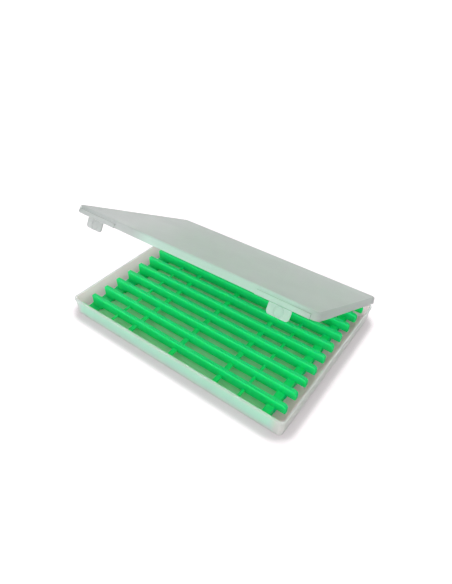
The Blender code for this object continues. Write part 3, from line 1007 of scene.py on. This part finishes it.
def white_floor(stage):
    """Matt white paper, which the camera sees white but for the box's narrow shadow, partly cast and partly
    painted by fading the glow near the box.
    """
    material = empty_material("white_paper", stage.floor)
    tree = material.node_tree
    paper = add_node(tree, "ShaderNodeBsdfDiffuse", {"Color": (*stage.floor, 1)}).outputs[0]
    # Painted shadow: the glow fades where ambient occlusion finds the box close
    open_sky = add_node(tree, "ShaderNodeAmbientOcclusion", {"Distance": stage.shadow_width}).outputs["AO"]
    share = add_node(
        tree, "ShaderNodeMapRange",
        {"interpolation_type": "SMOOTHSTEP", "From Min": DARK_SHARE, "From Max": LIGHT_SHARE,
         "To Max": stage.floor_glow},
        {"Value": open_sky}).outputs[0]
    faded = add_node(
        tree, "ShaderNodeMath", {"operation": "MULTIPLY"}, {0: share, 1: seen_directly(tree)}).outputs[0]
    glow = add_node(tree, "ShaderNodeEmission", {"Color": (1, 1, 1, 1)}, {"Strength": faded}).outputs[0]
    both = add_node(tree, "ShaderNodeAddShader", links={0: paper, 1: glow}).outputs[0]
    add_node(tree, "ShaderNodeOutputMaterial", links={"Surface": both})
    return material


def white_dome(stage):
    """Even light from all round, seen as plain white."""
    world = bpy.data.worlds.new("white_dome")
    world.use_nodes = True
    tree = world.node_tree
    tree.nodes.clear()
    strength = add_node(
        tree, "ShaderNodeMapRange", {"To Min": stage.dome, "To Max": 1}, {"Value": seen_directly(tree)})
    light = add_node(
        tree, "ShaderNodeBackground", {"Color": (1, 1, 1, 1)}, {"Strength": strength.outputs["Result"]})
    add_node(tree, "ShaderNodeOutputWorld", links={"Surface": light.outputs[0]})
    return world


def far_lamp(stage):
    """A wide lamp in front, so far off that it lights the whole floor evenly."""
    light = bpy.data.lights.new("lamp_front", "SUN")
    light.energy = stage.lamp_strength
    light.angle = stage.lamp_spread
    lamp = bpy.data.objects.new("lamp_front", light)
    bpy.context.scene.collection.objects.link(lamp)
    lamp.location = stage.lamp_from
    lamp.rotation_euler = (-Vector(stage.lamp_from)).to_track_quat("-Z", "Y").to_euler()


class RIGBOX_OT_tray(bpy.types.Operator):
    """Builds the tray with its rim bead and hinge ears"""

    bl_idname = "rigbox.tray"
    bl_label = "Tray"

    def execute(self, context):
        scene = context.scene
        plastics = scene.rig_box_plastics
        box = scene.rig_box_shells
        winder = scene.rig_box_winders
        mesh = tray_mesh(box, scene.rig_box_hinge)
        finish = (plastics.tray_clearness, plastics.tray_haze, plastics.milkiness)
        floor_finish = (plastics.floor_clearness, plastics.floor_haze, plastics.milkiness)
        reach = winder.length / 2
        # Painted light on the outside: the winders' green seen through the wall, painted in a band beside
        # them
        painted_green_beside_winders = [
            ("X", winder.shift, reach, WALL_END_FADE),
            ("Z", plastics.painted_band_middle, plastics.painted_band_reach, WALL_BAND_FADE),
        ]
        # Painted green bounce light on the floor under the winders' rails
        painted_green_under_rails = [("X", winder.shift, reach - winder.block_setback, FLOOR_FADE)]
        outside = natural_polypropylene(
            "natural_polypropylene_outside", plastics.tray_outside, *finish,
            plastics.tray_outside_painted_green, painted_green_beside_winders)
        inside = natural_polypropylene("natural_polypropylene_inside", plastics.tray_inside, *finish)
        floor = natural_polypropylene(
            "natural_polypropylene_floor", plastics.tray_inside, *floor_finish,
            plastics.floor_painted_green, painted_green_under_rails)
        thing = place("tray_moulding", mesh, outside)
        mesh.materials.append(inside)
        mesh.materials.append(floor)
        for face in mesh.polygons:
            if face.normal.z > LEVEL and face.center.z < 2 * box.floor:
                face.material_index = 2
            elif face.normal.xy.dot(face.center.xy) < 0 and face.center.z > box.floor:
                face.material_index = 1
        stand_for(thing, "tray", "base_tray")
        return {"FINISHED"}


class RIGBOX_OT_lid(bpy.types.Operator):
    """Builds the lid with its panels and hinge barrels, half open"""

    bl_idname = "rigbox.lid"
    bl_label = "Lid"

    def execute(self, context):
        scene = context.scene
        box = scene.rig_box_shells
        hinge = scene.rig_box_hinge
        plastics = scene.rig_box_plastics
        mesh = lid_mesh(box, hinge, scene.rig_box_latches)
        skirt = skirt_polypropylene("natural_polypropylene_skirt", plastics)
        finish = (plastics.lid_clearness, plastics.lid_haze, plastics.milkiness)
        top = natural_polypropylene("natural_polypropylene_frosted", plastics.lid_top, *finish)
        thing = place("lid_moulding", mesh, skirt)
        mesh.materials.append(top)
        top_from = box.lid_top_z - 2 * box.lid_top
        for face in mesh.polygons:
            face.material_index = abs(face.normal.z) > LEVEL and face.center.z > top_from
        mesh.transform(opened(box, hinge))
        stand_for(thing, "lid", "lid")
        return {"FINISHED"}


class RIGBOX_OT_latches(bpy.types.Operator):
    """Builds the two latch tabs"""

    bl_idname = "rigbox.latches"
    bl_label = "Latch tabs"

    def execute(self, context):
        scene = context.scene
        box = scene.rig_box_shells
        latch = scene.rig_box_latches
        # The tabs share the skirt's painted green bounce light
        material = skirt_polypropylene("natural_polypropylene_tabs", scene.rig_box_plastics)
        for node, side in (("latch_left", -1), ("latch_right", 1)):
            aside = Matrix.Translation((side * (box.length / 2 - latch.inset), 0, 0))
            mesh = latch_mesh(box, latch)
            mesh.transform(opened(box, scene.rig_box_hinge) @ aside)
            stand_for(place(node + "_moulding", mesh, material), node, node)
        return {"FINISHED"}


class RIGBOX_OT_winders(bpy.types.Operator):
    """Builds the ladder winders, side by side in the tray"""

    bl_idname = "rigbox.winders"
    bl_label = "Winders"

    def execute(self, context):
        scene = context.scene
        winder = scene.rig_box_winders
        mesh = winder_mesh(winder)
        material = green_polystyrene(scene.rig_box_plastics)
        first = -winder.pitch * (winder.count - 1) / 2
        for i in range(winder.count):
            node = f"winder_{i + 1:02d}"
            spot = Matrix.Translation((winder.shift, first + winder.pitch * i, winder.bottom))
            stand_for(place(node + "_moulding", mesh, material, spot), node, node)
        return {"FINISHED"}


class RIGBOX_OT_stage(bpy.types.Operator):
    """Builds the white floor, the dome, the lamp and the camera"""

    bl_idname = "rigbox.stage"
    bl_label = "Stage"

    def execute(self, context):
        scene = context.scene
        stage = scene.rig_box_stage
        top = -FLOOR_DROP
        floor = along_z("floor", circle((0, 0), stage.floor_size / 2), top - FLOOR_THICKNESS, top)
        place("white_floor", floor, white_floor(stage))
        scene.world = white_dome(stage)
        far_lamp(stage)
        camera_data = bpy.data.cameras.new("camera")
        camera_data.lens = stage.lens
        camera_data.sensor_width = SENSOR_WIDTH
        camera_data.shift_x = stage.shift_x
        camera_data.shift_y = stage.shift_y
        camera_data.clip_start = CLIP_START
        camera = bpy.data.objects.new("camera", camera_data)
        scene.collection.objects.link(camera)
        camera.location = stage.camera_place
        camera.rotation_euler = Euler(stage.camera_turn)
        scene.camera = camera
        scene.view_settings.view_transform = "Standard"
        return {"FINISHED"}


class RIGBOX_PT_pieces(bpy.types.Panel):
    """Lists the pieces, the stage and their settings"""

    bl_idname = "RIGBOX_PT_pieces"
    bl_label = "Rig Box"
    bl_space_type = "VIEW_3D"
    bl_region_type = "UI"
    bl_category = "Rig Box"

    def draw(self, context):
        layout = self.layout
        for operator in OPERATORS:
            layout.operator(operator.bl_idname)
        for setting, group in SETTINGS:
            box = layout.box()
            box.label(text=group.__doc__)
            for key in group.__annotations__:
                box.prop(getattr(context.scene, setting), key)


OPERATORS = (RIGBOX_OT_tray, RIGBOX_OT_lid, RIGBOX_OT_latches, RIGBOX_OT_winders, RIGBOX_OT_stage)
SETTINGS = (
    ("rig_box_shells", RigBoxShells),
    ("rig_box_hinge", RigBoxHinge),
    ("rig_box_latches", RigBoxLatches),
    ("rig_box_winders", RigBoxWinders),
    ("rig_box_plastics", RigBoxPlastics),
    ("rig_box_stage", RigBoxStage),
)


def register():
    for setting, group in SETTINGS:
        bpy.utils.register_class(group)
        setattr(bpy.types.Scene, setting, PointerProperty(type=group))
    for operator in OPERATORS:
        bpy.utils.register_class(operator)
    bpy.utils.register_class(RIGBOX_PT_pieces)


def unregister():
    bpy.utils.unregister_class(RIGBOX_PT_pieces)
    for operator in reversed(OPERATORS):
        bpy.utils.unregister_class(operator)
    for setting, group in reversed(SETTINGS):
        delattr(bpy.types.Scene, setting)
        bpy.utils.unregister_class(group)


def main():
    register()
    bpy.ops.rigbox.tray()
    bpy.ops.rigbox.lid()
    bpy.ops.rigbox.latches()
    bpy.ops.rigbox.winders()
    bpy.ops.rigbox.stage()


if __name__ == "__main__":
    main()
